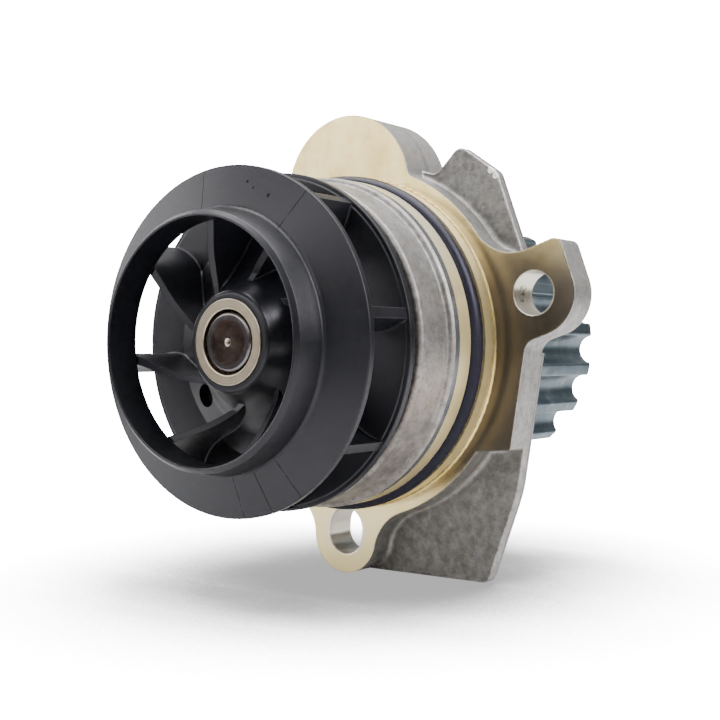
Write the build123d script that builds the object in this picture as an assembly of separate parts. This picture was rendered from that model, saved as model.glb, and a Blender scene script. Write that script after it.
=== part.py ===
from build123d import *
import os
from math import acos, atan2, cos, degrees, hypot, pi, radians, sin, tan

# Engine coolant pump, millimetres. The shaft runs along Y through the origin. The flange seats on the
# engine block at y = 0, the impeller points towards -Y and the toothed belt pulley towards +Y. +Z is up.

# Flange and cast plates: every (x, z, radius) below is a corner of an outline and its rounding
FLANGE_R = 36.45
FLANGE_BACK_Y = 9.0
STEP_Y = 5.7
EAR_BACK_Y = 7.3
RIGHT_EAR = (42.0, 9.3)
THIRD_EAR_DISTANCE = 43.0
THIRD_EAR_ANGLE = 143.0
LOWER_EAR = (-2.4, -40.3)
EAR_R = 7.8
BOLT_R = 4.2
SLOT_CENTRE = (-2.1, -39.35)
SLOT_LENGTH = 9.7
SPOT_FACE_R = 7.4
TOP_BOSS = (-2.0, 32.0)
TOP_BOSS_R = 15.6
TOP_BOSS_BACK_Y = 15.0
TOP_BOSS_WALL = 3.4
BOSS_BLEND = 2.4
BOSS_BLEND_SPAN = 4.0
CAST_EDGE = 0.9
FACE_EDGE = 0.25


# Corners of the outlines seen along the shaft: (x, z) or (x, z, rounding)
RIGHT_EAR_CORNERS = [
    (18, 10), (29.5, 21.3), (33.8, 15.4, 9.6), (47.2, 19.9, 1.8), (52.7, 4.2, 8.0),
    (40.3, 0.0, 3.2), (37.05, -20.6, 0.6), (29.6, -21.25), (15, -10),
]
LOWER_EAR_CORNERS = [
    (0, -20), (12, -34.4), (7.1, -36.1, 10.0), (4.9, -42.6), (-10.1, -41.4),
    (-10.6, -35.4, 8.0), (-16, -32.7),
]
UPPER_TAB_CORNERS = [
    (5, 28), (12.6, 35.6), (16.6, 34.4, 2.0), (22.05, 39.9, 2.2), (30.7, 33.8, 2.5),
    (36.8, 16.9), (36, 10), (20, 8),
]
CORNER_PLATE_CORNERS = [
    (10, -8), (36.5, -1), (39.97, -2.1), (35.65, -29.3, 30.0), (28.85, -47.8, 1.8),
    (-1.5, -47.8), (-4, -38),
]
THIRD_EAR_NECK = (37.4, 9.0)
THIRD_EAR_FOOT = (33.7, 14.0)

# Spigot that fits the block's bore
SPIGOT_FRONT_Y = -22.3
SPIGOT_CAST_R = 31.5
LAND_R = 32.83
LAND_FRONT_Y = -12.9
SHOULDER_Y = -13.7
GROOVE_FRONT_Y = -7.5
GROOVE_BACK_Y = -3.55
GROOVE_R = 30.1
REAR_LAND_R = 33.75
REAR_LAND_FILLET = 0.5
O_RING_CREST_R = 34.03
O_RING_WIRE_R = 1.93

# Housing inside and bearing nose
POCKET_R = 28.4
POCKET_FLOOR_Y = -8.0
SEAL_BOSS_R = 19.6
SEAL_BOSS_Y = -15.5
SEAL_BORE_R = 16.0
SEAL_BORE_END_Y = 0.8
PASSAGE_R = 9.6
CHAMBER_R = 12.0
CHAMBER_START_Y = 4.5
NOSE_BASE_R = 20.0
NOSE_END_R = 18.4
NOSE_END_Y = 44.5
RIB_COUNT = 6
RIB_THICKNESS = 3.0
RIB_TOP_Y = 22.0
RIB_REACH_R = 33.0
WEEP_R = 2.25
WEEP_Y = 12.0

# Mechanical seal and slinger
CUP_SHEET = 0.9
CUP_INNER_R = 10.5
CUP_LIP_R = 17.8
CARBON_FACE_Y = -15.2
CARBON_BACK_Y = -10.6
CARBON_FACE_INNER_R = 9.4
CARBON_FACE_R = 11.8
CARBON_R = 12.4
CARBON_BORE_R = 8.4
CARBON_STEP = 1.8
BELLOWS_BACK_Y = -0.15
BELLOWS_WALL = 0.8
BELLOWS_BORE_R = 9.5
BELLOWS_R = 14.6
DRIVE_BAND_SHEET = 0.6
SPRING_WIRE_R = 0.6
SPRING_R = 12.1
SPRING_TURNS = 4.5
SPRING_GAP = 0.1
SEAL_SLEEVE_R = 6.9
SEAL_SLEEVE_BACK_Y = -3.0
MATING_RING_Y = -15.25
MATING_RING_DEPTH = 4.2
MATING_RING_BORE_R = 8.6
MATING_RING_R = 13.2
BOOT_R = 13.9
BOOT_WALL = 1.2
SLINGER_Y = 6.6
SLINGER_R = 10.9
SLINGER_HUB_R = 9.2

# Integral shaft bearing
SHAFT_R = 7.96
SHAFT_FRONT_R = 6.0
SHAFT_END_R = 5.6
SHAFT_STEP_Y = 2.0
SHAFT_FRONT_Y = -38.7
SHAFT_BACK_Y = 55.4
SLEEVE_R = 15.0
SLEEVE_BORE_R = 12.7
SLEEVE_START_Y = 14.0
SLEEVE_END_Y = 46.0
BALL_COUNT = 8
BALL_R = 2.778
BALL_CENTRE_R = 10.35
BALL_Y = 22.0
RACE_R = 2.95
ROLLER_COUNT = 10
ROLLER_R = 2.2
ROLLER_LENGTH = 9.6
ROLLER_CENTRE_R = 10.33
ROLLER_Y = 34.5
CAGE_INNER_R = 8.8
CAGE_OUTER_R = 12.1
POCKET_PLAY = 0.15

# Impeller
BLADE_COUNT = 8
BLADE_TIP_ANGLE = 9.0
BLADE_TIP_R = 31.7
BLADE_ROOT_R = 11.4
BLADE_ROOT_HALF = 0.72
BLADE_TIP_HALF = 0.97
BLADE_ENTRY = [(22.6, -39.75), (13.0, -34.0), (11.4, -33.6)]
IMPELLER_R = 32.2
SHROUD_R = 32.3
BACK_PLATE_FRONT_Y = -26.9
BACK_PLATE_BACK_Y = -25.2
RIM_STEP_R = 31.2
RIM_STEP = 0.18
FAIRING_R = 22.8
HUB_FRONT_Y = -38.5
HUB_R = 9.4
HUB_BACK_Y = -21.2
BUSH_R = 8.0
BUSH_FRONT_Y = -38.85
EYE_R = 22.35
EYE_FRONT_Y = -47.4
RELIEF_HOLE_R = 2.3
RELIEF_HOLE_DISTANCE = 18.6
RELIEF_HOLE_ANGLE = 34.0

# Middle line of one blade seen along the shaft: (distance from the axis, turn from the blade's tip)
BLADE_LINE = [
    (10.0, 37), (12.5, 27), (15.0, 18), (18.0, 9.8), (21.0, 2.6), (24.0, -1.6), (27.5, -2.2), (32.0, 0.4),
]

# Section corners, (distance from the axis, y, rounding): hub fairing, shroud underside and shroud front
FAIRING_CORNERS = [(10.4, -34.9, 8.0), (13.4, -31.4, 5.0), (16.8, -28.8, 5.0)]
SHROUD_INNER = [(32.3, -37.75), (25.2, -39.6)]
SHROUD_FRONT = [(SHROUD_R, -38.95, 0.35), (24.3, -41.15, 0.8), (23.45, -46.5, 0.15)]
THROAT_Y = -39.8
HUB_FOOT_R = 12.6
HUB_BACK_R = 11.8

# Toothed pulley for a 9.525 mm pitch belt
TOOTH_COUNT = 19
BELT_PITCH = 9.525
PITCH_LINE_OFFSET = 0.686
PULLEY_FRONT_Y = 27.3
PULLEY_BACK_Y = 54.8
TOOTH_SPACE_R = 3.15
TOOTH_TIP_ROUND = 0.6
TOOTH_PHASE = 6.85
PULLEY_EDGE = 0.5
PULLEY_INNER_R = 21.0
PULLEY_HUB_R = 13.5
PULLEY_WEB_FRONT_Y = 48.4
PULLEY_WEB_BACK_Y = 52.6


def upward(face):
    """The same face with its normal along +Z, so that extrusions go the way they say."""
    return face if face.normal_at().Z > 0 else -face


def rounded_face(corners):
    """Closed face through corners (x, y) or (x, y, radius), each turned by a tangent arc."""
    entries = []
    exits = []
    middles = []
    for index, corner in enumerate(corners):
        here = Vector(corner[0], corner[1])
        radius = corner[2] if len(corner) > 2 else 0
        before = corners[index - 1]
        after = corners[(index + 1) % len(corners)]
        back = (Vector(before[0], before[1]) - here).normalized()
        ahead = (Vector(after[0], after[1]) - here).normalized()
        half = radians(back.get_angle(ahead)) / 2
        reach = radius / tan(half)
        entries.append(here + back * reach)
        exits.append(here + ahead * reach)
        middles.append(here + (back + ahead).normalized() * (radius / sin(half) - radius))
    edges = []
    for index, middle in enumerate(middles):
        if (exits[index] - entries[index]).length > 0.001:
            edges.append(Edge.make_three_point_arc(entries[index], middle, exits[index]))
        following = entries[(index + 1) % len(corners)]
        if (following - exits[index]).length > 0.001:
            edges.append(Edge.make_line(exits[index], following))
    return upward(Face(Wire(edges)))


def prism(outline, y_start, y_end):
    """Solid between two planes across the shaft, from an outline in x and z."""
    plane = Plane(origin=(0, y_end, 0), x_dir=(1, 0, 0), z_dir=(0, -1, 0))
    return extrude(plane * outline, amount=y_end - y_start)


def turned(corners):
    """Solid of revolution about the shaft from (radius, y) or (radius, y, rounding) corners."""
    return revolve(rounded_face(corners), axis=Axis.Y, revolution_arc=360)


def tube(inner_r, outer_r, y_start, y_end):
    return turned([(inner_r, y_start), (outer_r, y_start), (outer_r, y_end), (inner_r, y_end)])


def rod(x, z, radius, y_start, y_end):
    return prism(Pos(x, z) * Circle(radius), y_start, y_end)


def around(shape, angle):
    """Turns a shape about the shaft from +X towards +Z."""
    return Rot(0, -angle, 0) * shape


def polar(distance, angle):
    return distance * cos(radians(angle)), distance * sin(radians(angle))


def save(shape, node):
    export_step(shape, f"parts/{node}.step")


# ---------------------------------------------------------------- housing

def right_ear_outline():
    return rounded_face(RIGHT_EAR_CORNERS)


def lower_ear_outline():
    return rounded_face(LOWER_EAR_CORNERS) + Pos(*LOWER_EAR) * Circle(EAR_R)


def third_ear_outline():
    neck, rounding = THIRD_EAR_NECK
    foot, foot_half = THIRD_EAR_FOOT
    web = rounded_face([
        (NOSE_BASE_R, 0), (foot, foot_half), (neck, EAR_R, rounding), (THIRD_EAR_DISTANCE, EAR_R),
        (THIRD_EAR_DISTANCE, -EAR_R), (neck, -EAR_R, rounding), (foot, -foot_half),
    ])
    ear = web + Pos(THIRD_EAR_DISTANCE, 0) * Circle(EAR_R)
    return Rot(0, 0, THIRD_EAR_ANGLE) * ear


def upper_tab_outline():
    return rounded_face(UPPER_TAB_CORNERS)


def corner_plate_outline():
    return rounded_face(CORNER_PLATE_CORNERS)


def boss_blend_outline(side):
    """Small fillet in the notch between the top boss and the disc; side is -1 right of it, +1 left."""
    distance = hypot(*TOP_BOSS)
    lean = degrees(atan2(TOP_BOSS[1], TOP_BOSS[0]))
    spread = degrees(acos((FLANGE_R**2 + distance**2 - TOP_BOSS_R**2) / (2 * FLANGE_R * distance)))
    notch_x, notch_z = polar(FLANGE_R, lean + side * spread)
    boss_turn = degrees(atan2(notch_z - TOP_BOSS[1], notch_x - TOP_BOSS[0]))
    boss_x, boss_z = polar(TOP_BOSS_R, boss_turn - side * degrees(BOSS_BLEND_SPAN / TOP_BOSS_R))
    on_boss = (TOP_BOSS[0] + boss_x, TOP_BOSS[1] + boss_z)
    on_disc = polar(FLANGE_R, lean + side * (spread + degrees(BOSS_BLEND_SPAN / FLANGE_R)))
    inside = polar(FLANGE_R - 2 * BOSS_BLEND_SPAN, lean + side * spread)
    return rounded_face([on_boss, (notch_x, notch_z, BOSS_BLEND), on_disc, inside])


def flange_outline():
    """Machined outline that seats on the block."""
    disc = Circle(FLANGE_R) + Pos(*TOP_BOSS) * Circle(TOP_BOSS_R)
    disc += boss_blend_outline(-1)
    disc += boss_blend_outline(1)
    return disc + right_ear_outline() + lower_ear_outline() + third_ear_outline()


def softened(outline, y_start, y_end):
    """Cast plate with a rounded back rim and a broken front rim."""
    plate = prism(outline, y_start, y_end)
    back_rim = plate.faces().sort_by(Axis.Y)[-1].outer_wire().edges()
    plate = fillet(back_rim, CAST_EDGE)
    front_rim = plate.faces().sort_by(Axis.Y)[0].outer_wire().edges()
    return chamfer(front_rim, FACE_EDGE)


def backing():
    """Thin cast plate behind the machined flange: disc, upper tab and large corner plate."""
    disc = softened(Circle(FLANGE_R), STEP_Y, FLANGE_BACK_Y)
    tab = softened(upper_tab_outline(), STEP_Y, FLANGE_BACK_Y)
    corner = softened(corner_plate_outline(), STEP_Y, FLANGE_BACK_Y)
    return disc + tab + corner


def top_boss():
    boss = softened(Pos(*TOP_BOSS) * Circle(TOP_BOSS_R), STEP_Y, TOP_BOSS_BACK_Y)
    return boss - tube(1, FLANGE_R - 6, STEP_Y - 1, TOP_BOSS_BACK_Y + 1)


def spigot():
    corners = [
        (1, SPIGOT_FRONT_Y), (SPIGOT_CAST_R, SPIGOT_FRONT_Y, 0.9), (SPIGOT_CAST_R + 0.25, SHOULDER_Y, 0.6),
        (LAND_R - 0.35, SHOULDER_Y, 0.3), (LAND_R, LAND_FRONT_Y), (LAND_R, GROOVE_FRONT_Y),
        (GROOVE_R, GROOVE_FRONT_Y, 0.3), (GROOVE_R, GROOVE_BACK_Y, 0.3), (REAR_LAND_R, GROOVE_BACK_Y),
        (REAR_LAND_R, 0, REAR_LAND_FILLET), (REAR_LAND_R + 1, 0), (REAR_LAND_R + 1, 1), (1, 1),
    ]
    return turned(corners)


def nose():
    end = NOSE_END_Y
    return turned([(1, STEP_Y), (NOSE_BASE_R + 4, STEP_Y), (NOSE_BASE_R + 4, FLANGE_BACK_Y, 0.01),
                   (NOSE_BASE_R, FLANGE_BACK_Y, 3.0), (NOSE_END_R, end, 0.8), (1, end)])


def rib(angle):
    """Web on the back of the flange that carries the belt load from the nose."""
    side = Plane(origin=(0, 0, RIB_THICKNESS / 2), x_dir=(1, 0, 0), z_dir=(0, 0, 1))
    outline = rounded_face([
        (NOSE_END_R - 2, STEP_Y + 1), (RIB_REACH_R, STEP_Y + 1), (RIB_REACH_R, FLANGE_BACK_Y + 0.6, 0.5),
        (NOSE_BASE_R + 2.2, RIB_TOP_Y, 3.0), (NOSE_END_R - 2, RIB_TOP_Y),
    ])
    return around(extrude(side * outline, amount=-RIB_THICKNESS), angle)


def housing_hollows():
    """Everything machined or cored out about the shaft axis."""
    pocket = turned([
        (SEAL_BOSS_R, SPIGOT_FRONT_Y - 1), (POCKET_R, SPIGOT_FRONT_Y - 1),
        (POCKET_R - 0.6, POCKET_FLOOR_Y, 2.5), (SEAL_BOSS_R + 0.6, POCKET_FLOOR_Y, 2.5),
    ])
    front = tube(0, SEAL_BOSS_R + 0.5, SPIGOT_FRONT_Y - 1, SEAL_BOSS_Y)
    seal_bore = tube(0, SEAL_BORE_R, SEAL_BOSS_Y - 1, SEAL_BORE_END_Y)
    passage = tube(0, PASSAGE_R, 0, CHAMBER_START_Y + 1)
    chamber = tube(0, CHAMBER_R, CHAMBER_START_Y, SLEEVE_START_Y + 1)
    bearing_bore = tube(0, SLEEVE_R, SLEEVE_START_Y, NOSE_END_Y + 1)
    return [pocket, front, seal_bore, passage, chamber, bearing_bore]


def bolt_openings():
    """Through holes and the flat seats for the bolt heads on the back."""
    third_ear = polar(THIRD_EAR_DISTANCE, THIRD_EAR_ANGLE)
    far = FLANGE_BACK_Y + 1
    slot_angle = degrees(atan2(SLOT_CENTRE[1], SLOT_CENTRE[0]))
    slot = Pos(*SLOT_CENTRE) * (Rot(0, 0, slot_angle) * SlotOverall(SLOT_LENGTH, 2 * BOLT_R))
    openings = [prism(slot, -1, far)]
    for ear in (RIGHT_EAR, third_ear):
        openings.append(rod(*ear, BOLT_R, -1, far))
    for ear in (RIGHT_EAR, third_ear, LOWER_EAR):
        openings.append(rod(*ear, SPOT_FACE_R, EAR_BACK_Y, far))
    return openings


def pump_housing():
    flange = prism(flange_outline(), 0, EAR_BACK_Y)
    body = flange + backing() + top_boss() + spigot() + nose()
    for index in range(RIB_COUNT):
        body += rib(index * 360 / RIB_COUNT)
    boss_core = rod(*TOP_BOSS, TOP_BOSS_R - TOP_BOSS_WALL, STEP_Y + 1, TOP_BOSS_BACK_Y + 1)
    body -= boss_core - tube(0, FLANGE_R - 1.5, STEP_Y, TOP_BOSS_BACK_Y + 2)
    for hollow in housing_hollows() + bolt_openings():
        body -= hollow
    weep = Pos(0, WEEP_Y, 0) * Cylinder(WEEP_R, NOSE_BASE_R * 2, align=(Align.CENTER, Align.CENTER, Align.MAX))
    return body - weep


def spigot_o_ring():
    centre = Plane(origin=(O_RING_CREST_R - O_RING_WIRE_R, (GROOVE_FRONT_Y + GROOVE_BACK_Y) / 2, 0))
    return revolve(centre * Circle(O_RING_WIRE_R), axis=Axis.Y, revolution_arc=360)


# ---------------------------------------------------------------- mechanical seal

def seal_cup():
    inner = SEAL_BORE_R - CUP_SHEET
    return turned([
        (CUP_INNER_R, SEAL_BORE_END_Y - CUP_SHEET), (inner, SEAL_BORE_END_Y - CUP_SHEET, CUP_SHEET / 2),
        (inner, SEAL_BOSS_Y - CUP_SHEET, CUP_SHEET), (CUP_LIP_R, SEAL_BOSS_Y - CUP_SHEET),
        (CUP_LIP_R, SEAL_BOSS_Y), (SEAL_BORE_R, SEAL_BOSS_Y), (SEAL_BORE_R, SEAL_BORE_END_Y, CUP_SHEET),
        (CUP_INNER_R, SEAL_BORE_END_Y),
    ])


def seal_carbon_ring():
    step_y = CARBON_FACE_Y + CARBON_STEP
    return turned([
        (CARBON_FACE_INNER_R, CARBON_FACE_Y), (CARBON_FACE_R, CARBON_FACE_Y), (CARBON_FACE_R, step_y),
        (CARBON_R, step_y), (CARBON_R, CARBON_BACK_Y), (CARBON_BORE_R, CARBON_BACK_Y),
        (CARBON_BORE_R, step_y), (CARBON_FACE_INNER_R, step_y),
    ])


def seal_bellows():
    front = CARBON_FACE_Y + CARBON_STEP
    shelf = CARBON_BACK_Y + BELLOWS_WALL
    foot = BELLOWS_BACK_Y - BELLOWS_WALL
    waist = BELLOWS_BORE_R + BELLOWS_WALL
    bend = BELLOWS_WALL * 0.7
    return turned([
        (CARBON_R, front), (CARBON_R + BELLOWS_WALL, front), (CARBON_R + BELLOWS_WALL, shelf, bend),
        (waist, shelf, bend), (waist, foot, bend), (BELLOWS_R, foot), (BELLOWS_R, BELLOWS_BACK_Y),
        (BELLOWS_BORE_R, BELLOWS_BACK_Y, bend), (BELLOWS_BORE_R, CARBON_BACK_Y), (CARBON_R, CARBON_BACK_Y),
    ])


def seal_drive_band():
    inner = CARBON_R + BELLOWS_WALL
    return tube(inner, inner + DRIVE_BAND_SHEET, CARBON_FACE_Y + CARBON_STEP, CARBON_BACK_Y)


def seal_spring():
    start = CARBON_BACK_Y + BELLOWS_WALL + SPRING_WIRE_R + SPRING_GAP
    height = BELLOWS_BACK_Y - BELLOWS_WALL - SPRING_WIRE_R - SPRING_GAP - start
    path = Helix(pitch=height / SPRING_TURNS, height=height, radius=SPRING_R)
    section = Plane(origin=path @ 0, z_dir=path % 0) * Circle(SPRING_WIRE_R)
    coil = sweep(section, path=path, is_frenet=True)
    return Pos(0, start, 0) * (Rot(-90, 0, 0) * coil)


def seal_shaft_sleeve():
    return tube(SHAFT_FRONT_R, SEAL_SLEEVE_R, HUB_BACK_Y, SEAL_SLEEVE_BACK_Y)


def seal_mating_ring():
    return tube(MATING_RING_BORE_R, MATING_RING_R, MATING_RING_Y - MATING_RING_DEPTH, MATING_RING_Y)


def mating_ring_boot():
    seat = MATING_RING_Y - MATING_RING_DEPTH
    floor_y = seat - BOOT_WALL
    collar = seat + BOOT_WALL
    inner_end = MATING_RING_Y - BOOT_WALL
    return turned([
        (SEAL_SLEEVE_R, floor_y), (BOOT_R, floor_y, BOOT_WALL / 2), (BOOT_R, collar, BOOT_WALL / 4),
        (MATING_RING_R, collar), (MATING_RING_R, seat), (MATING_RING_BORE_R, seat),
        (MATING_RING_BORE_R, inner_end), (SEAL_SLEEVE_R, inner_end),
    ])


def water_slinger():
    return turned([
        (SHAFT_R, SLINGER_Y), (SLINGER_HUB_R, SLINGER_Y), (SLINGER_R, SLINGER_Y + 1.8),
        (SLINGER_R, SLINGER_Y + 2.8), (SLINGER_HUB_R, SLINGER_Y + 2.6), (SHAFT_R, SLINGER_Y + 3.0),
    ])


# ---------------------------------------------------------------- shaft bearing

def race_groove():
    centre = Plane(origin=(BALL_CENTRE_R, BALL_Y, 0))
    return revolve(centre * Circle(RACE_R), axis=Axis.Y, revolution_arc=360)


def bearing_outer_sleeve():
    sleeve = turned([
        (SLEEVE_BORE_R, SLEEVE_START_Y, 0.3), (SLEEVE_R, SLEEVE_START_Y, 0.6),
        (SLEEVE_R, SLEEVE_END_Y, 0.6), (SLEEVE_BORE_R, SLEEVE_END_Y, 0.3),
    ])
    return sleeve - race_groove()


def bearing_seal(y_outside, direction):
    """Rubber lip seal; direction is +1 when the bearing's inside lies towards +Y."""
    return turned([
        (SLEEVE_BORE_R, y_outside), (9.4, y_outside), (8.02, y_outside + 0.6 * direction),
        (8.02, y_outside + 1.2 * direction), (9.4, y_outside + 1.6 * direction),
        (11.0, y_outside + 1.2 * direction), (11.6, y_outside + 2.2 * direction),
        (SLEEVE_BORE_R, y_outside + 2.2 * direction),
    ])


def ball_at(angle):
    x, z = polar(BALL_CENTRE_R, angle)
    return Pos(x, BALL_Y, z) * Sphere(BALL_R)


def bearing_balls():
    return Compound(children=[ball_at(index * 360 / BALL_COUNT) for index in range(BALL_COUNT)])


def ball_cage():
    cage = around(tube(CAGE_INNER_R, CAGE_OUTER_R, BALL_Y - 3.5, BALL_Y + 3.5), 180 / BALL_COUNT)
    pocket = Pos(BALL_CENTRE_R, BALL_Y, 0) * Rot(0, 90, 0) * Cylinder(BALL_R + POCKET_PLAY, 2 * BALL_R)
    for index in range(BALL_COUNT):
        cage -= around(pocket, index * 360 / BALL_COUNT)
    return cage


def roller(angle, play):
    x, z = polar(ROLLER_CENTRE_R, angle)
    half = ROLLER_LENGTH / 2 + play
    return rod(x, z, ROLLER_R + play, ROLLER_Y - half, ROLLER_Y + half)


def bearing_rollers():
    rollers = []
    for index in range(ROLLER_COUNT):
        blank = roller(index * 360 / ROLLER_COUNT, 0)
        rollers.append(chamfer(blank.edges().filter_by(GeomType.CIRCLE), 0.3))
    return Compound(children=rollers)


def roller_cage():
    half = ROLLER_LENGTH / 2 + 1.5
    cage = around(tube(CAGE_INNER_R, CAGE_OUTER_R, ROLLER_Y - half, ROLLER_Y + half), 180 / ROLLER_COUNT)
    for index in range(ROLLER_COUNT):
        cage -= roller(index * 360 / ROLLER_COUNT, POCKET_PLAY)
    return cage


def pump_shaft():
    shaft = turned([
        (0, SHAFT_FRONT_Y), (SHAFT_END_R, SHAFT_FRONT_Y, 0.6), (SHAFT_END_R, SHAFT_FRONT_Y + 1.2),
        (SHAFT_FRONT_R, SHAFT_FRONT_Y + 1.8), (SHAFT_FRONT_R, SHAFT_STEP_Y),
        (SHAFT_R, SHAFT_STEP_Y + 0.8), (SHAFT_R, SHAFT_BACK_Y, 0.6), (0, SHAFT_BACK_Y),
    ])
    centre_mark = turned([(0, SHAFT_FRONT_Y - 0.1), (0.75, SHAFT_FRONT_Y - 0.1), (0.2, SHAFT_FRONT_Y + 0.6),
                          (0.2, SHAFT_FRONT_Y + 1.2), (0, SHAFT_FRONT_Y + 1.2)])
    rear_centre = turned([(0, SHAFT_BACK_Y + 0.1), (2.2, SHAFT_BACK_Y + 0.1), (0.4, SHAFT_BACK_Y - 2.4),
                          (0, SHAFT_BACK_Y - 2.4)])
    return shaft - centre_mark - rear_centre - race_groove()


# ---------------------------------------------------------------- impeller

def blade_side(side):
    points = []
    for distance, turn in BLADE_LINE:
        x, z = polar(distance, turn)
        share = (distance - BLADE_LINE[0][0]) / (BLADE_LINE[-1][0] - BLADE_LINE[0][0])
        half = BLADE_ROOT_HALF + (BLADE_TIP_HALF - BLADE_ROOT_HALF) * share
        across = radians(turn + 90)
        points.append(Vector(x + side * half * cos(across), z + side * half * sin(across)))
    return points


def blade(angle):
    left = blade_side(1)
    right = blade_side(-1)
    outline = Wire([
        Edge.make_spline(left), Edge.make_line(left[-1], right[-1]),
        Edge.make_spline(right[::-1]), Edge.make_line(right[0], left[0]),
    ])
    return around(prism(upward(Face(outline)), EYE_FRONT_Y, BACK_PLATE_FRONT_Y + 0.4), angle)


def blade_room():
    """Space that the blades may fill: inlet edge, shroud underside and outer edge."""
    sunk_y = BACK_PLATE_FRONT_Y + 0.5
    top_y = SHROUD_INNER[0][1] - 0.15
    return turned([
        (BLADE_ROOT_R, sunk_y), (BLADE_TIP_R, sunk_y), (BLADE_TIP_R, top_y), SHROUD_INNER[1], *BLADE_ENTRY,
    ])


def impeller_hub():
    """Back plate, its fairing towards the inlet and the hub around the metal bush."""
    return turned([
        (BUSH_R, HUB_FRONT_Y), (HUB_R, HUB_FRONT_Y, 0.9), *FAIRING_CORNERS,
        (FAIRING_R, BACK_PLATE_FRONT_Y, 0.3), (RIM_STEP_R, BACK_PLATE_FRONT_Y),
        (RIM_STEP_R + RIM_STEP, BACK_PLATE_FRONT_Y + RIM_STEP),
        (IMPELLER_R, BACK_PLATE_FRONT_Y + RIM_STEP, 0.2),
        (IMPELLER_R, BACK_PLATE_BACK_Y, 0.3), (HUB_FOOT_R, BACK_PLATE_BACK_Y, 1.2),
        (HUB_BACK_R, HUB_BACK_Y, 0.5), (BUSH_R, HUB_BACK_Y),
    ])


def impeller_back_plate():
    blades = blade(BLADE_TIP_ANGLE)
    for index in range(1, BLADE_COUNT):
        blades += blade(BLADE_TIP_ANGLE + index * 360 / BLADE_COUNT)
    impeller = impeller_hub() + (blades & blade_room())
    for angle in (RELIEF_HOLE_ANGLE, RELIEF_HOLE_ANGLE + 180):
        x, z = polar(RELIEF_HOLE_DISTANCE, angle)
        impeller -= rod(x, z, RELIEF_HOLE_R, HUB_FRONT_Y, HUB_BACK_Y)
    return impeller


def impeller_front_shroud():
    return turned([
        SHROUD_INNER[0], *SHROUD_FRONT, (EYE_R + 0.25, EYE_FRONT_Y, 0.2), (EYE_R, EYE_FRONT_Y + 0.3),
        (EYE_R, THROAT_Y, 1.2), SHROUD_INNER[1],
    ])


def impeller_bush():
    return turned([
        (SHAFT_FRONT_R, BUSH_FRONT_Y, 0.25), (BUSH_R, BUSH_FRONT_Y, 0.12), (BUSH_R, HUB_BACK_Y),
        (SHAFT_FRONT_R, HUB_BACK_Y),
    ])


# ---------------------------------------------------------------- pulley

def timing_belt_pulley():
    outside_r = TOOTH_COUNT * BELT_PITCH / (2 * pi) - PITCH_LINE_OFFSET
    outline = Circle(outside_r)
    for index in range(TOOTH_COUNT):
        x, z = polar(outside_r, TOOTH_PHASE + (index + 0.5) * 360 / TOOTH_COUNT)
        outline -= Pos(x, z) * Circle(TOOTH_SPACE_R)
    outline = fillet(outline.vertices(), TOOTH_TIP_ROUND)
    wheel = prism(outline, PULLEY_FRONT_Y, PULLEY_BACK_Y)
    wide_r = outside_r + PULLEY_EDGE
    wheel &= turned([
        (0, PULLEY_FRONT_Y), (outside_r - PULLEY_EDGE, PULLEY_FRONT_Y),
        (wide_r, PULLEY_FRONT_Y + 2 * PULLEY_EDGE), (wide_r, PULLEY_BACK_Y - 2 * PULLEY_EDGE),
        (outside_r - PULLEY_EDGE, PULLEY_BACK_Y), (0, PULLEY_BACK_Y),
    ])
    front_room = turned([
        (SHAFT_R - 1, PULLEY_FRONT_Y - 1), (PULLEY_INNER_R, PULLEY_FRONT_Y - 1),
        (PULLEY_INNER_R, PULLEY_WEB_FRONT_Y, 1.5), (PULLEY_HUB_R, PULLEY_WEB_FRONT_Y, 0.8),
        (PULLEY_HUB_R, PULLEY_WEB_FRONT_Y - 1.4), (SHAFT_R - 1, PULLEY_WEB_FRONT_Y - 1.4),
    ])
    back_room = turned([
        (PULLEY_HUB_R, PULLEY_BACK_Y + 1), (PULLEY_HUB_R, PULLEY_WEB_BACK_Y, 0.8),
        (PULLEY_INNER_R + 0.4, PULLEY_WEB_BACK_Y, 0.8), (PULLEY_INNER_R + 0.4, PULLEY_BACK_Y + 1),
    ])
    bore = tube(0, SHAFT_R, PULLEY_FRONT_Y - 1, PULLEY_BACK_Y + 1)
    return wheel - front_room - back_room - bore


def main():
    os.makedirs("parts", exist_ok=True)
    save(pump_housing(), "pump_housing")
    save(spigot_o_ring(), "spigot_o_ring")
    save(seal_cup(), "seal_cup")
    save(seal_carbon_ring(), "seal_carbon_ring")
    save(seal_bellows(), "seal_bellows")
    save(seal_drive_band(), "seal_drive_band")
    save(seal_spring(), "seal_spring")
    save(seal_shaft_sleeve(), "seal_shaft_sleeve")
    save(seal_mating_ring(), "seal_mating_ring")
    save(mating_ring_boot(), "mating_ring_boot")
    save(water_slinger(), "water_slinger")
    save(bearing_outer_sleeve(), "bearing_outer_sleeve")
    save(bearing_seal(SLEEVE_START_Y + 0.6, 1), "bearing_front_seal")
    save(bearing_seal(SLEEVE_END_Y - 0.6, -1), "bearing_rear_seal")
    save(bearing_balls(), "bearing_balls")
    save(ball_cage(), "ball_cage")
    save(bearing_rollers(), "bearing_rollers")
    save(roller_cage(), "roller_cage")
    save(pump_shaft(), "pump_shaft")
    save(impeller_back_plate(), "impeller_back_plate")
    save(impeller_front_shroud(), "impeller_front_shroud")
    save(impeller_bush(), "impeller_bush")
    save(timing_belt_pulley(), "timing_belt_pulley")


main()
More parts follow.
